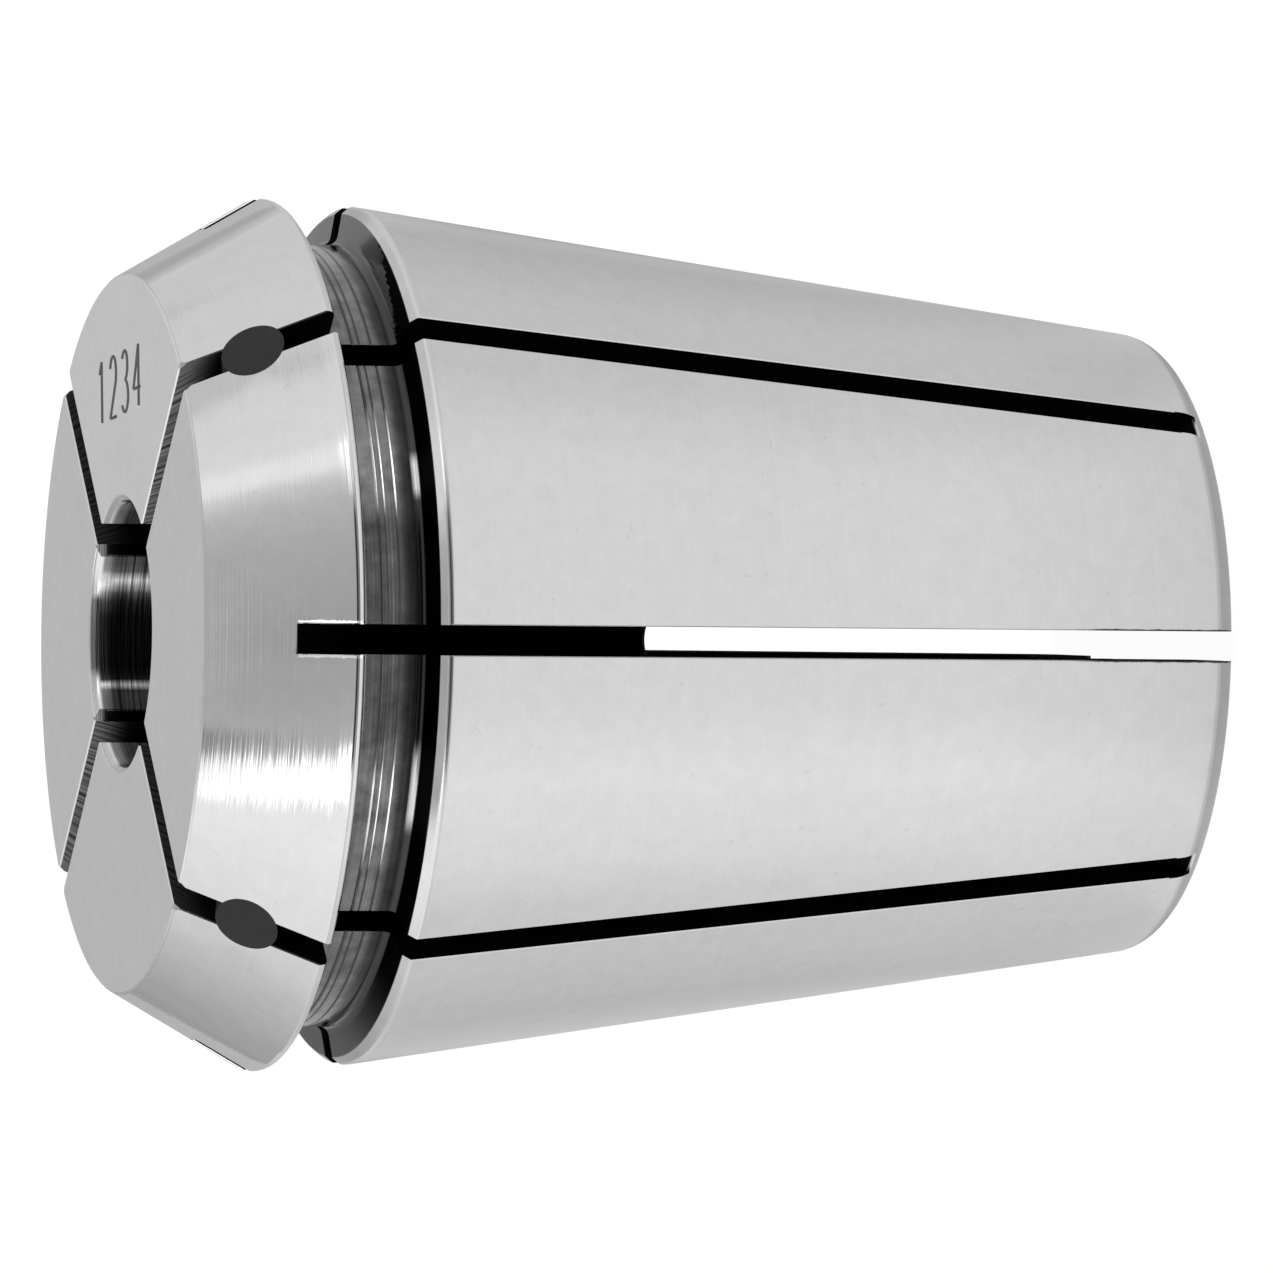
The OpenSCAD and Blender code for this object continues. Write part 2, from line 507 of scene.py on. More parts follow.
@dataclass(frozen=True)
class ZoneLimits:
    """Where one surface gives way to the next: heights, and radii with an r in them."""

    bore_r_mm: float = 5.3
    relief_r_mm: float = 6.5
    relief_mm: Pair = (16.0, 15.0)
    shoulder_mm: float = 31.81
    shoulder_soft_mm: float = 0.04
    fillet_mm: float = 32.08
    groove_soft_mm: float = 0.02
    nose_mm: float = 34.7
    cone_soft_mm: float = 0.05
    face_mm: float = 39.95
    face_soft_mm: float = 0.02
    edge_w_mm: Pair = (0.12, 0.24)
    edge_soft_mm: float = 0.015
    edge_r_mm: Pair = (8.0, 9.0)
    edge_end_mm: Pair = (36.96, 36.93)
    ragged_per_mm: float = 1.7
    ragged_detail: float = 3.0
    ragged_rough: float = 0.7

    def masks(self, g: Graph, place: Sockets) -> SteelZones:
        """Builds the masks.

        Args:
            g: The material's graph.
            place: The outputs of the place group.

        Returns:
            The masks.
        """
        radius, height = place["radius"], place["height"]
        face = g.step(height, self.face_mm - self.face_soft_mm, self.face_mm + self.face_soft_mm)
        off_face = g.minus(1.0, face)
        slot = g.times(place["slot"], off_face)
        outer = g.minus(1.0, slot)
        # The bore's mask widens below, where the relief is wider than the bore
        limit = g.mix(g.step(height, *self.relief_mm), self.bore_r_mm, self.relief_r_mm)
        inside = g.math("LESS_THAN", g.minus(radius, limit), 0.0)
        cone = g.step(height, self.nose_mm - self.cone_soft_mm, self.nose_mm + self.cone_soft_mm)
        along = g.vector(g.times(height, self.ragged_per_mm), place["cos"], 0.0)
        ragged = g.noise(along, self.ragged_detail, self.ragged_rough)
        width = g.times(ragged, g.mix(cone, *self.edge_w_mm))
        past = g.minus(place["edge"], width)
        near_edge = g.step(past, self.edge_soft_mm, -self.edge_soft_mm)
        near_edge = g.times(near_edge, g.step(height, *self.edge_end_mm))
        return SteelZones(
            face=face,
            bore=g.times(inside, off_face),
            slot=slot,
            cone=cone,
            groove=g.band(height, self.shoulder_mm, self.nose_mm, self.groove_soft_mm),
            shoulder=g.band(height, self.shoulder_mm, self.fillet_mm, self.shoulder_soft_mm),
            edge=g.times(near_edge, outer, g.step(radius, *self.edge_r_mm), off_face),
        )


@dataclass(frozen=True)
class ShoulderPaintedShadeAndLight:
    """The shoulder's finish: black painted shade, with painted light on its ends towards +X and
    -X.

    reach gives, by the radius, the cosine from +X to which the painted shade comes round.
    """

    painted_shade_share: float = 0.02
    lit_end_share: float = 1.3
    reach: Points = ((14.6, 0.72), (14.8, 0.767), (15.1, 0.84), (15.4, 0.885), (16.1, 0.95))
    reach_soft: float = 0.008
    stroke_scale: tuple[float, float, float] = (90.0, 20.0, 3.0)
    stroke_slant: float = 4.0
    stroke_length: float = 0.16
    far_end: Pair = (-0.8, -0.97)
    far_level: float = 0.7

    def ends(self, g: Graph, place: Sockets) -> Socket:
        """Works out where the painted light on the shoulder's ends lies.

        Args:
            g: The material's graph.
            place: The outputs of the place group.

        Returns:
            1 on the shoulder's two ends and 0 between them.
        """
        cos, radius = place["cos"], place["radius"]
        by_cos, by_sin, by_radius = self.stroke_scale
        slant = g.times(radius, self.stroke_slant)
        # Noise strokes rag the edge of the painted shade
        strokes = g.noise(
            g.vector(
                g.math("MULTIPLY_ADD", cos, by_cos, slant),
                g.times(place["sin"], by_sin),
                g.times(radius, by_radius),
            ),
        )
        past = g.minus(cos, g.curve(radius, self.reach))
        past = g.math("MULTIPLY_ADD", g.minus(strokes, 0.5), self.stroke_length, past)
        near_end = g.step(past, -self.reach_soft, self.reach_soft)
        far_end = g.times(g.step(cos, *self.far_end), self.far_level)
        return g.math("MAXIMUM", near_end, far_end)


@dataclass(frozen=True)
class GrooveWearAndPaintedLight:
    """The nut groove's finish: worn and turned, in painted shade, with painted glints on
    the turned lines' flanks and on its fillet.

    share, sides and fade are painted shade: sides goes by the cosine from +X or -X, and
    fade by the height above the fillet. glint, a painted glint on the flanks, goes by the
    same cosine. Each of the fillet's painted glint stretches is a range of the cosine
    from +X with the width of its edges.
    """

    share: float = 0.36
    wear: float = 0.65
    line_share: float = 0.26
    sides: Points = ((0.5, 1.0), (0.62, 0.74), (0.8, 0.7), (0.95, 0.8))
    glint: Points = ((0.3, 0.34), (0.37, 1.5), (0.48, 1.5), (0.58, 0.12))
    flanks_mm: Points = ((32.98, 33.03), (33.42, 33.46), (33.67, 33.73))
    flank_soft_mm: float = 0.01
    fade: Points = ((0.0, 0.12), (0.3, 0.3), (0.55, 0.9), (0.8, 1.0))
    fillet_mm: float = 32.38
    fillet_soft_mm: float = 0.1
    fillet_glint_turns: tuple[tuple[float, float, float], ...] = ((-0.46, -0.27, 0.06), (0.36, 0.45, 0.04))
    fillet_shares: Pair = (0.08, 0.8)

    def flanks(self, g: Graph, height: Socket) -> Socket:
        """Returns 1 on the flanks of the turned lines, which get a painted glint."""
        return g.plus(*(g.band(height, *ends, self.flank_soft_mm) for ends in self.flanks_mm))

    def tone(
        self, g: Graph, place: Sockets, lines: Socket, flanks: Socket, wear: Socket
    ) -> Socket:
        """Works out the groove's tone, with its painted shade and glints.

        Args:
            g: The material's graph.
            place: The outputs of the place group.
            lines: Fine lines round the axis.
            flanks: Is 1 on the turned lines' flanks, which get a painted glint.
            wear: The wear, about 0.

        Returns:
            The share.
        """
        height = place["height"]
        fine = g.times(g.minus(lines, 0.5), self.line_share)
        # Painted shade in the groove, mottled by its real wear and lines
        worn = g.plus(g.math("MULTIPLY_ADD", wear, self.wear, self.share), fine)
        turned = g.math("ABSOLUTE", place["cos"])
        # Painted shade that changes with how far round the light comes
        worn = g.times(worn, g.curve(turned, self.sides))
        # Painted glint on the turned lines' flanks
        worn = g.mix(flanks, worn, g.curve(turned, self.glint))
        # Painted shade that deepens towards the fillet
        fade = tuple((self.fillet_mm + above, level) for above, level in self.fade)
        worn = g.times(worn, g.curve(height, fade))
        # Painted glint on the fillet where it turns past the two bright boxes, painted shade
        # elsewhere
        fillet_glint = g.plus(*(g.band(place["cos"], *stretch) for stretch in self.fillet_glint_turns))
        fillet = g.step(height, self.fillet_mm, self.fillet_mm - self.fillet_soft_mm)
        return g.mix(fillet, worn, g.mix(fillet_glint, *self.fillet_shares))


@dataclass(frozen=True)
class BorePaintedLight:
    """The bore's painted light: painted highlights in bands near its mouth, and painted shade
    inside.

    deep, rim and lip give the painted highlights and shade by the place across the bore,
    in millimetres towards +X, each from its own height up. The arch is the part of the
    wall towards +X and -X.
    """

    deep_shade_share: float = 0.02
    deep: Points = (
        (-2.4, 0.025), (-2.15, 0.015), (-1.95, 0.18), (-1.75, 0.006), (-1.2, 0.007),
        (0.6, 0.011), (1.2, 0.03), (1.5, 0.05), (1.76, 0.16), (2.0, 0.38), (2.3, 0.07),
        (2.6, 0.045),
    )
    deep_from_mm: Pair = (33.0, 36.5)
    rim: Points = (
        (-2.4, 0.2), (-2.15, 0.18), (-1.95, 0.75), (-1.78, 0.05), (-1.2, 0.05), (0.6, 0.06),
        (1.2, 0.22), (1.5, 0.36), (1.8, 0.75), (2.15, 0.7), (2.35, 0.34), (2.6, 0.28),
    )
    rim_from_mm: Pair = (39.1, 39.6)
    lip: Points = ((-1.7, 1.0), (-1.3, 0.36), (1.2, 0.36), (1.5, 1.0))
    lip_from_mm: Pair = (39.6, 39.75)
    honing: Points = ((0.35, 0.4), (0.62, 2.2))
    arch: Pair = (0.72, 0.78)
    arch_deep: float = 0.035
    arch_rim: float = 0.3

    def tone(self, g: Graph, place: Sockets, lines: Socket) -> Socket:
        """Works out the bore's tone, with its painted highlights and shade.

        Args:
            g: The material's graph.
            place: The outputs of the place group.
            lines: Fine lines round the axis.

        Returns:
            The share.
        """
        height = place["height"]
        across = g.times(place["cos"], place["radius"])
        arch = g.step(g.math("ABSOLUTE", place["cos"]), *self.arch)
        # Painted shade deep in the bore, streaked by the fine lines
        deep = g.mix(arch, g.curve(across, self.deep), self.arch_deep)
        deep = g.times(deep, g.curve(lines, self.honing))
        deep = g.mix(g.step(height, *self.deep_from_mm), self.deep_shade_share, deep)
        # Painted highlights in bands at the rim and the lip
        rim = g.mix(arch, g.curve(across, self.rim), self.arch_rim)
        share = g.mix(g.step(height, *self.rim_from_mm), deep, rim)
        return g.mix(g.step(height, *self.lip_from_mm), share, g.curve(across, self.lip))


@dataclass(frozen=True)
class SawnWalls:
    """The slots' finish: painted shade inside, and painted light, with saw marks, beside the
    front face.
    """

    painted_shade_inside: float = 0.02
    low_share: float = 0.12
    lit_share: float = 0.6
    lit_mm: Pair = (38.4, 39.7)
    unlit_level: float = 0.2
    hatch_r_mm: Pair = (13.4, 12.4)
    hatch_levels: Pair = (0.44, 0.56)
    plain_level: float = 0.4
    marks_per_mm: float = 3.5
    marks_detail: float = 3.0
    marks_rough: float = 0.7
    marks_depth: float = 3.0

    def marks(self, g: Graph, place: Sockets) -> Socket:
        """Returns the saw's marks, between 0 and 1, along the blade's feed."""
        feed = g.vector(g.times(place["saw"], self.marks_per_mm), 0.0, 0.0)
        return g.noise(feed, self.marks_detail, self.marks_rough)

    def lit(self, g: Graph, place: Sockets, slot: Socket) -> Socket:
        """Returns how much painted light the walls get beside the front face."""
        near_face = g.times(slot, g.step(place["height"], *self.lit_mm))
        return g.times(near_face, g.mix(place["lit"], self.unlit_level, 1.0))

    def tone(self, g: Graph, place: Sockets, lit: Socket, marks: Socket) -> Socket:
        """Works out the walls' tone, with its painted shade and light.

        Args:
            g: The material's graph.
            place: The outputs of the place group.
            lit: How much painted light the walls get.
            marks: The saw's marks.

        Returns:
            The share.
        """
        inner = g.step(place["radius"], *self.hatch_r_mm)
        hatch = g.mix(inner, self.plain_level, g.step(marks, *self.hatch_levels))
        hatch = g.math("MULTIPLY_ADD", hatch, self.lit_share, self.low_share)
        # Painted shade inside the slots, painted light with the saw's hatch on the walls by the
        # face
        return g.mix(lit, self.painted_shade_inside, hatch)


@dataclass(frozen=True)
class GroundSteel:
    """Hardened steel: ground outside, turned in the groove and sawn in the slots.

    A share changes the tone; those of the upper face, the slot edges, the groove, the
    shoulder, the bore and the slots are painted light and shade. A lean tilts the normal.
    fine_lines and broad_lines are how many lines a millimetre has and how long each one
    is, and the other lines are how strongly a surface shows them.
    """

    limits: ZoneLimits = ZoneLimits()
    shoulder: ShoulderPaintedShadeAndLight = ShoulderPaintedShadeAndLight()
    groove: GrooveWearAndPaintedLight = GrooveWearAndPaintedLight()
    bore: BorePaintedLight = BorePaintedLight()
    walls: SawnWalls = SawnWalls()

    tone: float = 0.68
    face_share: float = 1.15
    upper_face_light: float = 1.13
    upper_face: Pair = (0.68, 0.73)
    cone_edge_highlight: float = 1.4
    foot_edge_shade: float = 0.12
    foot_edge_mm: Pair = (7.0, 5.5)

    cloud_mm: float = 3.0
    cloud_share: float = 0.05
    grime_mm: float = 0.7
    grime_share: float = 0.1
    speck_share: float = 0.05
    line_share: float = 0.04
    groove_grime: float = 0.7

    taper_rough: float = 0.2
    cone_rough: float = 0.07
    face_rough: float = 0.3
    groove_rough: float = 0.14
    slot_rough: float = 0.9
    bore_rough: float = 0.1
    cloud_rough: float = 0.08
    lit_metal: float = 0.1
    dull_metal: float = 0.05

    line_depth: float = 1.2e-6
    fine_lines: Pair = (12.0, 1.2)
    broad_lines: Pair = (2.6, 2.5)
    cone_lines: float = 3.0
    groove_lines: float = 4.0
    bore_lines: float = 18.0

    bow_mm: float = 35.9
    rear_mm: float = 35.6
    cone_lean: float = 0.0115
    rear_lean: float = 0.09
    mouth_mm: Pair = (36.0, 36.5)
    mouth_lean: float = 0.42
    flank_lean: float = -0.25
    break_mm: Pair = (0.04, 0.06)
    edge_lean: float = 0.35

    def leaning(self, g: Graph, place: Sockets, zones: SteelZones, flanks: Socket) -> Socket:
        """Tilts the normal a little, as polishing and wear do.

        The cone bows a little towards both ends, the bore opens at its mouth, and
        the sawn edges are rounded.

        Args:
            g: The material's graph.
            place: The outputs of the place group.
            zones: The masks.
            flanks: Is 1 on the turned lines' flanks.

        Returns:
            The normal.
        """
        height = place["height"]
        up_cone = g.math("MAXIMUM", g.minus(height, self.bow_mm), 0.0)
        down_cone = g.math("MAXIMUM", g.minus(self.rear_mm, height), 0.0)
        cone = g.minus(
            g.times(up_cone, self.cone_lean),
            g.times(down_cone, self.rear_lean),
        )
        on_cone = g.times(zones.cone, g.minus(1.0, zones.face))
        mouth = g.step(height, *self.mouth_mm)
        lean_z = g.plus(
            g.times(on_cone, cone),
            g.times(zones.bore, mouth, self.mouth_lean),
            g.times(zones.groove, flanks, self.flank_lean),
        )
        flat = g.step(place["edge"], *self.break_mm)
        worn = g.times(zones.edge, flat, self.edge_lean)
        lean = g.vector(
            g.times(place["to x"], worn),
            g.times(place["to y"], worn),
            lean_z,
        )
        normal = g.node("TexCoord").outputs["Normal"]
        total = g.node("VectorMath", {0: normal, 1: lean}, operation="ADD")
        return g.node("VectorMath", {0: total.outputs[0]}, operation="NORMALIZE").outputs[0]

    def roughness(self, g: Graph, zones: SteelZones, black: Socket, cloud: Socket) -> Socket:
        """Works out how rough each surface is.

        Args:
            g: The material's graph.
            zones: The masks.
            black: Is 1 on the shoulder's black painted shade.
            cloud: Faint clouds, about 0.

        Returns:
            The roughness.
        """
        rough = g.mix(zones.cone, self.taper_rough, self.cone_rough)
        rough = g.mix(zones.face, rough, self.face_rough)
        rough = g.mix(zones.groove, rough, self.groove_rough)
        rough = g.mix(zones.bore, rough, self.bore_rough)
        rough = g.mix(g.math("MAXIMUM", zones.slot, black), rough, self.slot_rough)
        return g.plus(rough, g.times(cloud, self.cloud_rough))

    def line_gain(self, g: Graph, zones: SteelZones) -> Socket:
        """Returns how strongly each surface shows its fine lines."""
        gain = g.mix(zones.cone, 1.0, self.cone_lines)
        gain = g.mix(zones.face, gain, 1.0)
        gain = g.mix(zones.groove, gain, self.groove_lines)
        return g.mix(zones.bore, gain, self.bore_lines)

    def material(self, groups: ShaderGroups) -> bpy.types.Material:
        """Builds the material.

        Args:
            groups: The shared node groups.

        Returns:
            The finished material.
        """
        material, g = new_material("ground_steel")
        place = use_group(g, groups.place)
        height = place["height"]
        zones = self.limits.masks(g, place)
        marks = use_group(g, groups.handling, size_mm=self.cloud_mm)
        cloud = g.minus(marks["cloud"], 0.5)
        grime = use_group(g, groups.handling, size_mm=self.grime_mm)["cloud"]
        grime = g.minus(grime, 0.5)
        turn = {"cos": place["cos"], "sin": place["sin"]}
        turn["along"] = g.mix(zones.face, height, place["radius"])
        fine, broad = (
            use_group(g, groups.lines, lines_per_mm=per_mm, length=length, **turn)["lines"]
            for per_mm, length in (self.fine_lines, self.broad_lines)
        )
        saw = self.walls.marks(g, place)
        lit = self.walls.lit(g, place, zones.slot)
        flanks = self.groove.flanks(g, height)
        ends = self.shoulder.ends(g, place)
        # Painted shade on the shoulder, and painted light on its two ends
        black = g.times(zones.shoulder, g.minus(1.0, ends))
        dull = g.times(zones.shoulder, ends)

        wear = g.math("MULTIPLY_ADD", grime, self.groove_grime, cloud)
        upper = g.step(place["cos"], *self.upper_face)
        foot = g.step(height, *self.foot_edge_mm)
        shares = (
            # Painted light on the face's part towards +X
            (zones.face, g.mix(upper, self.face_share, self.upper_face_light * self.face_share)),
            # Painted highlight along the slot edges on the cone
            (g.times(zones.edge, zones.cone), self.cone_edge_highlight),
            # Painted shade along the slot edges near the small end
            (g.times(zones.edge, foot), self.foot_edge_shade),
            # Painted shade and glints in the groove
            (zones.groove, self.groove.tone(g, place, fine, flanks, wear)),
            # Painted shade on the shoulder, painted light on its ends
            (zones.shoulder, g.mix(ends, self.shoulder.painted_shade_share, self.shoulder.lit_end_share)),
            # Painted highlights and shade in the bore
            (zones.bore, self.bore.tone(g, place, fine)),
            # Painted shade in the slots, painted light on the walls by the face
            (zones.slot, self.walls.tone(g, place, lit, saw)),
        )
        tone = g.math("MULTIPLY_ADD", cloud, self.cloud_share, self.tone)
        tone = g.math("MULTIPLY_ADD", grime, self.grime_share, tone)
        tone = g.math("MULTIPLY_ADD", g.minus(fine, 0.5), self.line_share, tone)
        tone = g.minus(tone, g.times(marks["specks"], self.speck_share))
        for mask, share in shares:
            tone = g.times(tone, g.mix(mask, 1.0, share))

        lines = g.times(g.plus(fine, broad), self.line_gain(g, zones))
        bump = g.node(
            "Bump",
            {
                "Distance": self.line_depth,
                "Height": g.mix(zones.slot, lines, g.times(saw, self.walls.marks_depth)),
                "Normal": self.leaning(g, place, zones, flanks),
            },
        )
        # Less metal where light is painted on the slot walls and on the shoulder's ends
        metal = g.times(g.mix(lit, 1.0, self.lit_metal), g.mix(dull, 1.0, self.dull_metal))
        shader = g.node(
            "BsdfPrincipled",
            {
                "Base Color": g.grey(tone),
                "Metallic": metal,
                "Roughness": self.roughness(g, zones, black, cloud),
                "Normal": bump.outputs[0],
            },
        )
        g.finish("OutputMaterial", shader)
        return material


@dataclass(frozen=True)
class SealRubber:
    """Matt black rubber of the sealing plugs."""

    tone: float = 0.026
    spread: Pair = (0.7, 1.3)
    rough: float = 0.55
    specular: float = 0.3
    skin_mm: float = 0.35
    skin_depth: float = 4e-6

    def material(self, groups: ShaderGroups) -> bpy.types.Material:
        """Builds the material.

        Args:
            groups: The shared node groups.

        Returns:
            The finished material.
        """
        material, g = new_material("seal_rubber")
        skin = use_group(g, groups.handling, size_mm=self.skin_mm)["cloud"]
        tone = g.times(g.mix(skin, *self.spread), self.tone)
        bump = g.node("Bump", {"Distance": self.skin_depth, "Height": skin})
        shader = g.node(
            "BsdfPrincipled",
            {
                "Base Color": g.grey(tone),
                "Roughness": self.rough,
                "Specular IOR Level": self.specular,
                "Normal": bump.outputs[0],
            },
        )
        g.finish("OutputMaterial", shader)
        return material


@dataclass(frozen=True)
class LaserGrey:
    """Dark oxide that a marking laser leaves on steel."""

    tone: float = 0.07
    spread: Pair = (0.6, 1.4)
    cloud_mm: float = 0.2
    rough: float = 0.5
    metal: float = 0.4

    def material(self, groups: ShaderGroups) -> bpy.types.Material:
        """Builds the material.

        Args:
            groups: The shared node groups.

        Returns:
            The finished material.
        """
        material, g = new_material("laser_grey")
        cloud = use_group(g, groups.handling, size_mm=self.cloud_mm)["cloud"]
        tone = g.times(g.mix(cloud, *self.spread), self.tone)
        shader = g.node(
            "BsdfPrincipled",
            {"Base Color": g.grey(tone), "Metallic": self.metal, "Roughness": self.rough},
        )
        g.finish("OutputMaterial", shader)
        return material


def set_finish(piece: bpy.types.Object, material: bpy.types.Material) -> None:
    """Puts one material in every material slot of a piece."""
    if not piece.data.materials:
        piece.data.materials.append(material)
    for slot in piece.material_slots:
        slot.material = material


@dataclass
class ColletBody:
    """The sawn steel body."""

    node: str = "collet_body"
    finish: GroundSteel = field(default_factory=GroundSteel)

    def dress(self, nodes: dict[str, bpy.types.Object], groups: ShaderGroups) -> None:
        """Gives the CAD node its finish.

        Args:
            nodes: The CAD nodes by name.
            groups: The shared node groups.
        """
        set_finish(nodes[self.node], self.finish.material(groups))
        log.info("%s: ground, turned and sawn steel", self.node)


@dataclass
class SealingPlugs:
    """The four rubber plugs across the front slots."""

    nodes: tuple[str, ...] = tuple(f"sealing_plug_{i}" for i in range(1, 5))
    finish: SealRubber = field(default_factory=SealRubber)

    def dress(self, nodes: dict[str, bpy.types.Object], groups: ShaderGroups) -> None:
        """Gives the CAD nodes their finish.

        Args:
            nodes: The CAD nodes by name.
            groups: The shared node groups.
        """
        rubber = self.finish.material(groups)
        for name in self.nodes:
            set_finish(nodes[name], rubber)
            log.info("%s: black rubber", name)


@dataclass
class FaceNumerals:
    """A row of plain numerals, drawn on the front face with single strokes.

    pen_mm is the pen's width along the row and up the numerals.
    """

    name: str = "face_numerals"
    height_mm: float = 2.3
    width_mm: float = 1.15
    pen_mm: Pair = (0.12, 0.4)
    pen_rounding: int = 2
    depth_mm: float = 0.008
    face_z_mm: float = 40.0
    first_mm: Pair = (7.86, 3.37)
    pitch_mm: float = 1.93
    lean: float = 5.8
    arc_steps: int = 14
    weld: float = 1e-7
    finish: LaserGrey = field(default_factory=LaserGrey)

    def arc(self, centre: Pair, size: Pair, start: float, end: float) -> list[Pair]:
        """Draws a round stretch of a stroke.

        Args:
            centre: The middle of its ellipse.
            size: Half the ellipse's width and half its height.
            start: Where it starts, in degrees from +x towards +y.
            end: Where it ends.

        Returns:
            Its points.
        """
        steps = self.arc_steps
        turns = [math.radians(start + (end - start) * i / steps) for i in range(steps + 1)]
        (x, y), (wide, tall) = centre, size
        return [(x + wide * math.cos(turn), y + tall * math.sin(turn)) for turn in turns]

    def strokes(self) -> list[list[list[Pair]]]:
        """Returns the centre lines of each numeral in a box of 1 by 1, x to its right."""
        one = [[(0.25, 0.8), (0.55, 1.0)], [(0.55, 1.0), (0.55, 0.0)]]
        neck = self.arc((0.5, 0.72), (0.42, 0.28), 160, -35)
        two = [neck + [(0.05, 0.0)], [(0.05, 0.0), (0.95, 0.0)]]
        upper = self.arc((0.47, 0.76), (0.38, 0.24), 150, -90)
        three = [upper, self.arc((0.47, 0.26), (0.45, 0.26), 90, -150)]
        four = [[(0.72, 0.0), (0.72, 1.0)], [(0.72, 1.0), (0.0, 0.3)], [(0.0, 0.3), (1.0, 0.3)]]
        return [one, two, three, four]

    def build(self) -> bpy.types.Object:
        """Models the numerals as flat strokes of a broad pen, half sunk in the face.

        Returns:
            The mesh object, at the origin.
        """
        curve = bpy.data.curves.new(self.name, "CURVE")
        curve.dimensions = "3D"
        curve.bevel_depth = self.pen_mm[0] / 2 * MM
        curve.bevel_resolution = self.pen_rounding
        curve.use_fill_caps = True
        turn = math.radians(self.lean)
        stretch = self.pen_mm[1] / self.pen_mm[0]
        for index, numeral in enumerate(self.strokes()):
            for stroke in numeral:
                spline = curve.splines.new("POLY")
                spline.points.add(len(stroke) - 1)
                for point, (u, v) in zip(spline.points, stroke):
                    right = (u - 0.5) * self.width_mm + index * self.pitch_mm
                    up = v * self.height_mm
                    x = self.first_mm[0] + up * math.cos(turn) + right * math.sin(turn)
                    y = self.first_mm[1] - right * math.cos(turn) + up * math.sin(turn)
                    point.co = (x * MM, y / stretch * MM, 0.0, 1.0)
        drawn = new_object(self.name + "_strokes", curve)
        depsgraph = bpy.context.evaluated_depsgraph_get()
        mesh = bpy.data.meshes.new_from_object(drawn.evaluated_get(depsgraph))
        bpy.data.objects.remove(drawn)
        shape = bmesh.new()
        shape.from_mesh(mesh)
        bmesh.ops.remove_doubles(shape, verts=shape.verts, dist=self.weld)
        flat = self.depth_mm / self.pen_mm[0]
        bmesh.ops.scale(shape, vec=Vector((1.0, stretch, flat)), verts=shape.verts)
        bmesh.ops.translate(shape, vec=Vector((0, 0, self.face_z_mm * MM)), verts=shape.verts)
        bmesh.ops.recalc_face_normals(shape, faces=shape.faces)
        shape.to_mesh(mesh)
        shape.free()
        return new_object(self.name, mesh)

    def dress(self, piece: bpy.types.Object, groups: ShaderGroups) -> None:
        """Gives the numerals their finish and their body.

        Args:
            piece: The mesh object that build made.
            groups: The shared node groups.
        """
        set_finish(piece, self.finish.material(groups))
        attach(piece, "root")
        log.info("%s: laser grey", self.name)


@dataclass(frozen=True)
class SoftBox:
    """A patch of the light tent: its range of turn and rise, in degrees, and level."""

    turn: Pair
    rise: Pair
    level: float
    soft: float = 3.0


@dataclass
class LightTent:
    """The world: white to the camera, and a ring of soft boxes round the metal.

    ring gives the light's level by its turn from the front, in degrees, and the
    roof is the part above roof_from. On the left, where turns are negative, the
    ring fans out from fan_from upwards, so that the boxes' sides lean apart. Each
    box then changes the level of its own patch.
    """

    ring: Points = (
        (-180, 0.58), (-160, 0.46), (-150, 0.46), (-140, 0.5), (-131, 0.59), (-123, 0.66),
        (-115, 0.75), (-108, 0.87), (-90, 1.04), (-64, 1.17), (-44, 1.15), (-32.5, 1.15),
        (-31, 0.7), (-24, 0.58), (0, 0.47), (30, 0.56), (44, 0.66), (50, 0.82), (54, 1.12),
        (58, 1.12), (62, 0.98), (128, 0.82), (143, 0.78), (145, 0.8), (147, 0.66),
        (160, 0.52), (180, 0.58),
    )
    boxes: tuple[SoftBox, ...] = (
        SoftBox((-49, -32), (24, 44.5), 1.9),
        SoftBox((42, 58), (24, 36.5), 1.9),
        SoftBox((-30, -22), (46.5, 60), 0.3),
        SoftBox((-24, 30), (50.5, 62), 0.62, 4.0),
        SoftBox((-36, 36), (-10, 35), 0.05, 8.0),
        SoftBox((84, 130), (30, 62), 0.72, 8.0),
        SoftBox((124, 175), (18, 45), 0.68, 6.0),
        SoftBox((150, 200), (-20, 9), 0.5, 4.0),
        SoftBox((-200, -150), (-20, 9), 0.42, 4.0),
    )
    roof_from: float = 66.0
    roof_level: float = 0.46
    roof_soft: float = 6.0
    fan_from: float = 40.0
    fan_rate: float = 0.08

    def build(self) -> None:
        """Builds the world's nodes."""
        world = bpy.data.worlds.new("light_tent")
        world.use_nodes = True
        world.node_tree.nodes.clear()
        g = Graph(world.node_tree)
        x, y, z = g.split(g.node("TexCoord").outputs["Generated"])
        turn = g.bearing(x, y)
        rise = g.math("DEGREES", g.math("ARCSINE", z))
        above = g.math("MAXIMUM", g.minus(rise, self.fan_from), 0.0)
        rate = g.mix(g.math("LESS_THAN", turn, 0.0), 0.0, self.fan_rate)
        turn = g.math("DIVIDE", turn, g.math("MULTIPLY_ADD", above, rate, 1.0))
        level = g.curve(turn, self.ring)
        for box in self.boxes:
            inside = g.times(
                g.band(turn, *box.turn, box.soft),
                g.band(rise, *box.rise, box.soft),
            )
            level = g.mix(inside, level, box.level)
        roof = g.step(rise, self.roof_from - self.roof_soft, self.roof_from + self.roof_soft)
        level = g.mix(roof, level, self.roof_level)
        path = g.node("LightPath").outputs
        shown = g.math("MAXIMUM", path["Is Camera Ray"], path["Is Transmission Ray"])
        tent = g.node("Background", {"Color": g.grey(level)})
        white = g.node("Background", {"Color": (1.0, 1.0, 1.0, 1.0)})
        sky = g.node("MixShader", {0: shown, 1: tent.outputs[0], 2: white.outputs[0]})
        g.finish("OutputWorld", sky)
        # The tent is smooth, so rays that leave the metal find it well enough
        world.cycles.sampling_method = "NONE"
        bpy.context.scene.world = world
        log.info("light tent with %d boxes", len(self.boxes))


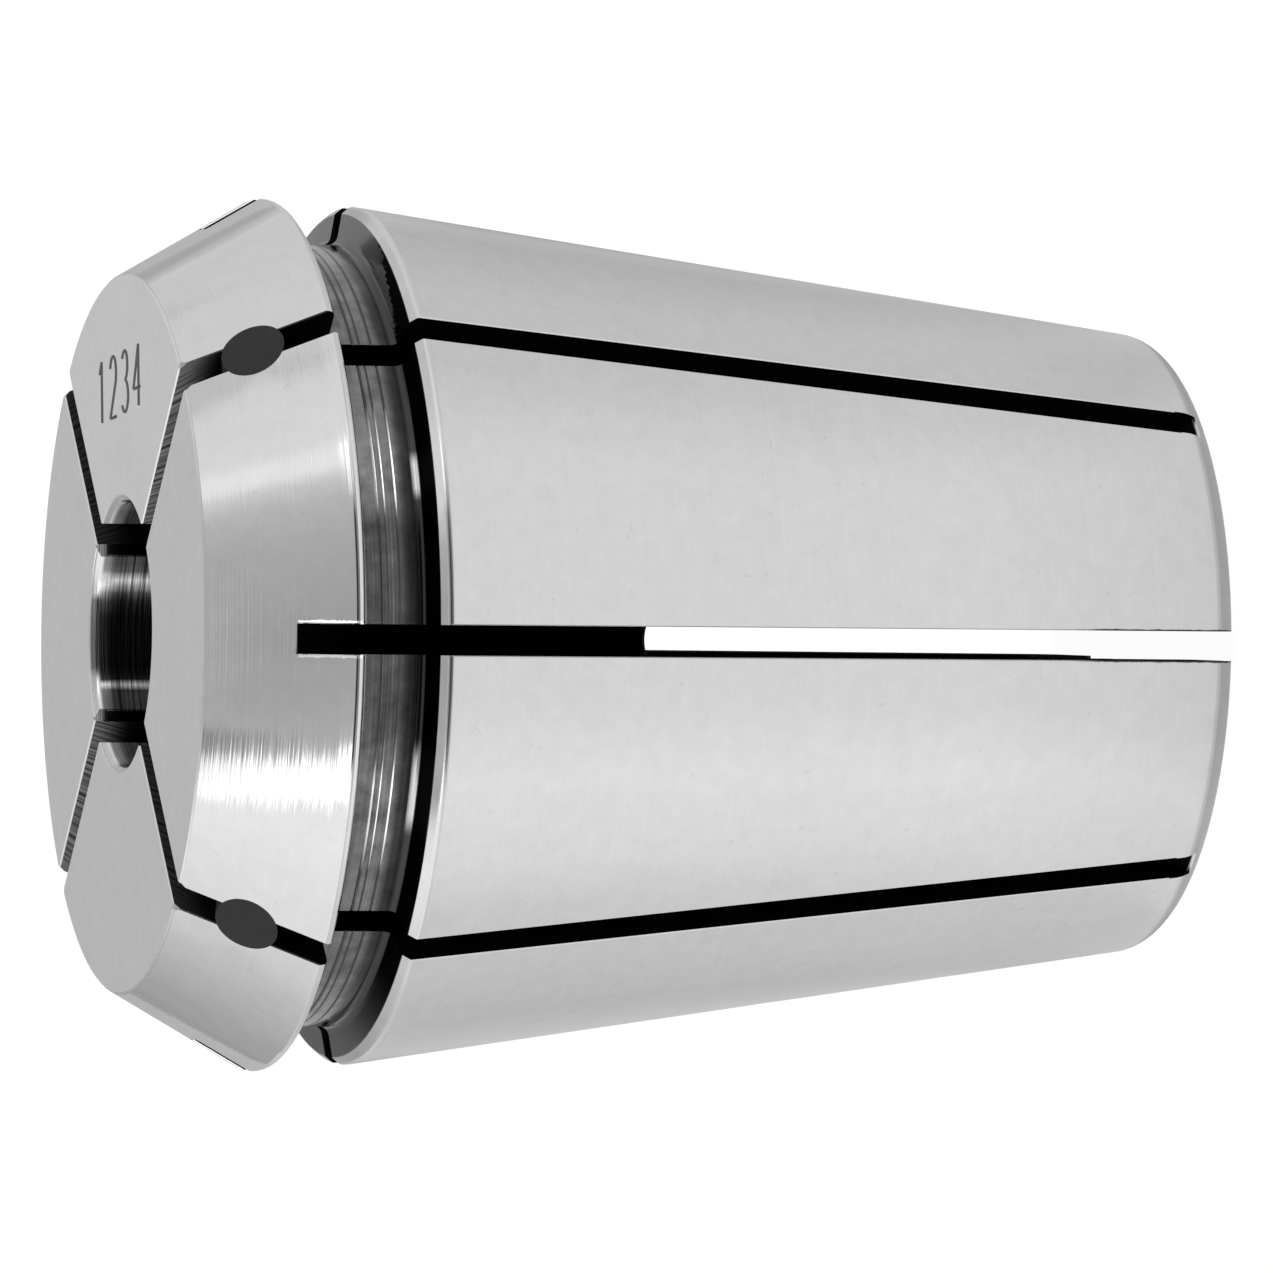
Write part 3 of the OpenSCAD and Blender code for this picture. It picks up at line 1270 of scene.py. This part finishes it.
@dataclass
class Floor:
    """The pale floor that the collet stands on.

    The metal mirrors it at two distances, so near and far give its level there by
    the turn from the front, in degrees, and foot paints a shadow in it close to the collet.
    """

    near: Points = (
        (-150, 0.69), (-125, 0.655), (-100, 0.79), (-75, 0.89), (-60, 1.08), (-35, 1.18),
        (-15, 1.04), (45, 1.02), (60, 0.93), (75, 0.81), (100, 0.79), (125, 0.64),
        (136, 0.57), (150, 0.6), (157, 0.48),
    )
    far: Points = (
        (-180, 0.42), (-160, 0.53), (-150, 0.66), (-140, 0.8), (-75, 0.8), (-60, 0.88),
        (-42, 0.85), (-30, 0.42), (-15, 0.26), (8, 0.2), (30, 0.3), (40, 0.6), (50, 0.9),
        (62, 0.7), (75, 0.8), (140, 0.8), (150, 0.67), (160, 0.56), (180, 0.42),
    )
    half_width: float = 3.0
    near_end: float = 0.095
    far_start: float = 0.115
    foot: Points = ((0.0117, 0.5), (0.0123, 0.87), (0.02, 0.94), (0.03, 1.0))
    white: float = 1.08
    paper: float = 0.9
    shadow_share: float = 0.1

    def build(self) -> bpy.types.Object:
        """Models the floor as one large sheet just under the collet.

        Returns:
            The floor's object.
        """
        shape = bmesh.new()
        bmesh.ops.create_grid(shape, x_segments=1, y_segments=1, size=self.half_width)
        mesh = bpy.data.meshes.new("floor")
        shape.to_mesh(mesh)
        shape.free()
        return new_object("floor", mesh)

    def dress(self, floor: bpy.types.Object) -> None:
        """Makes the floor white to the camera, with the collet's shadow kept.

        Args:
            floor: The object that build made.
        """
        material, g = new_material("pale_floor")
        x, y, _ = g.split(g.node("TexCoord").outputs["Object"])
        path = g.node("LightPath").outputs
        turn = g.bearing(x, y)
        away = g.math("SQRT", g.plus(g.times(x, x), g.times(y, y)))
        mirrored = g.mix(
            g.step(away, self.near_end, self.far_start),
            g.curve(turn, self.near),
            g.curve(turn, self.far),
        )
        # Painted shadow: the mirrored floor is darker close to the collet
        mirrored = g.times(mirrored, g.curve(away, self.foot))
        seen = g.chain(
            "MAXIMUM",
            path["Is Camera Ray"],
            path["Is Glossy Ray"],
            path["Is Transmission Ray"],
        )
        share = g.times(seen, 1.0 - self.shadow_share)
        paper = g.node("BsdfDiffuse", {"Color": (self.paper,) * 3 + (1.0,)})
        plain = g.node("Emission", {"Color": (self.white,) * 3 + (1.0,)})
        mirror = g.node("Emission", {"Color": g.grey(mirrored)})
        glow = g.node(
            "MixShader",
            {0: path["Is Glossy Ray"], 1: plain.outputs[0], 2: mirror.outputs[0]},
        )
        top = g.node("MixShader", {0: share, 1: paper.outputs[0], 2: glow.outputs[0]})
        under = g.node("BsdfTransparent")
        back = g.node("NewGeometry").outputs["Backfacing"]
        both = g.node("MixShader", {0: back, 1: top.outputs[0], 2: under.outputs[0]})
        g.finish("OutputMaterial", both)
        set_finish(floor, material)
        log.info("floor: pale paper")


@dataclass(frozen=True)
class PhotoCamera:
    """The camera that the photograph's edges were fitted to."""

    place: tuple[float, float, float] = (0.0031737, -0.4001543, 0.1330685)
    turn: tuple[float, float, float] = (1.88456, 74.21786, -87.59814)
    lens: float = 311.963
    sensor: float = 36.0
    clip: Pair = (0.01, 20.0)

    def build(self) -> None:
        """Makes the camera and gives it to the scene."""
        data = bpy.data.cameras.new("photo_camera")
        data.lens = self.lens
        data.sensor_width = self.sensor
        data.sensor_fit = "HORIZONTAL"
        data.clip_start, data.clip_end = self.clip
        camera = new_object("photo_camera", data)
        camera.location = self.place
        camera.rotation_euler = Euler([math.radians(a) for a in self.turn], "XYZ")
        bpy.context.scene.camera = camera
        log.info("camera at %s", self.place)


def main() -> None:
    """Loads the frame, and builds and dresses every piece."""
    logging.basicConfig(level=logging.INFO, format="%(name)s: %(message)s")
    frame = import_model()
    bpy.context.scene.view_settings.view_transform = "Standard"

    groups = ShaderGroups.build()
    ColletBody().dress(frame["nodes"], groups)
    SealingPlugs().dress(frame["nodes"], groups)
    numerals = FaceNumerals()
    numerals.dress(numerals.build(), groups)

    floor = Floor()
    floor.dress(floor.build())
    LightTent().build()
    PhotoCamera().build()


if __name__ == "__main__":
    main()
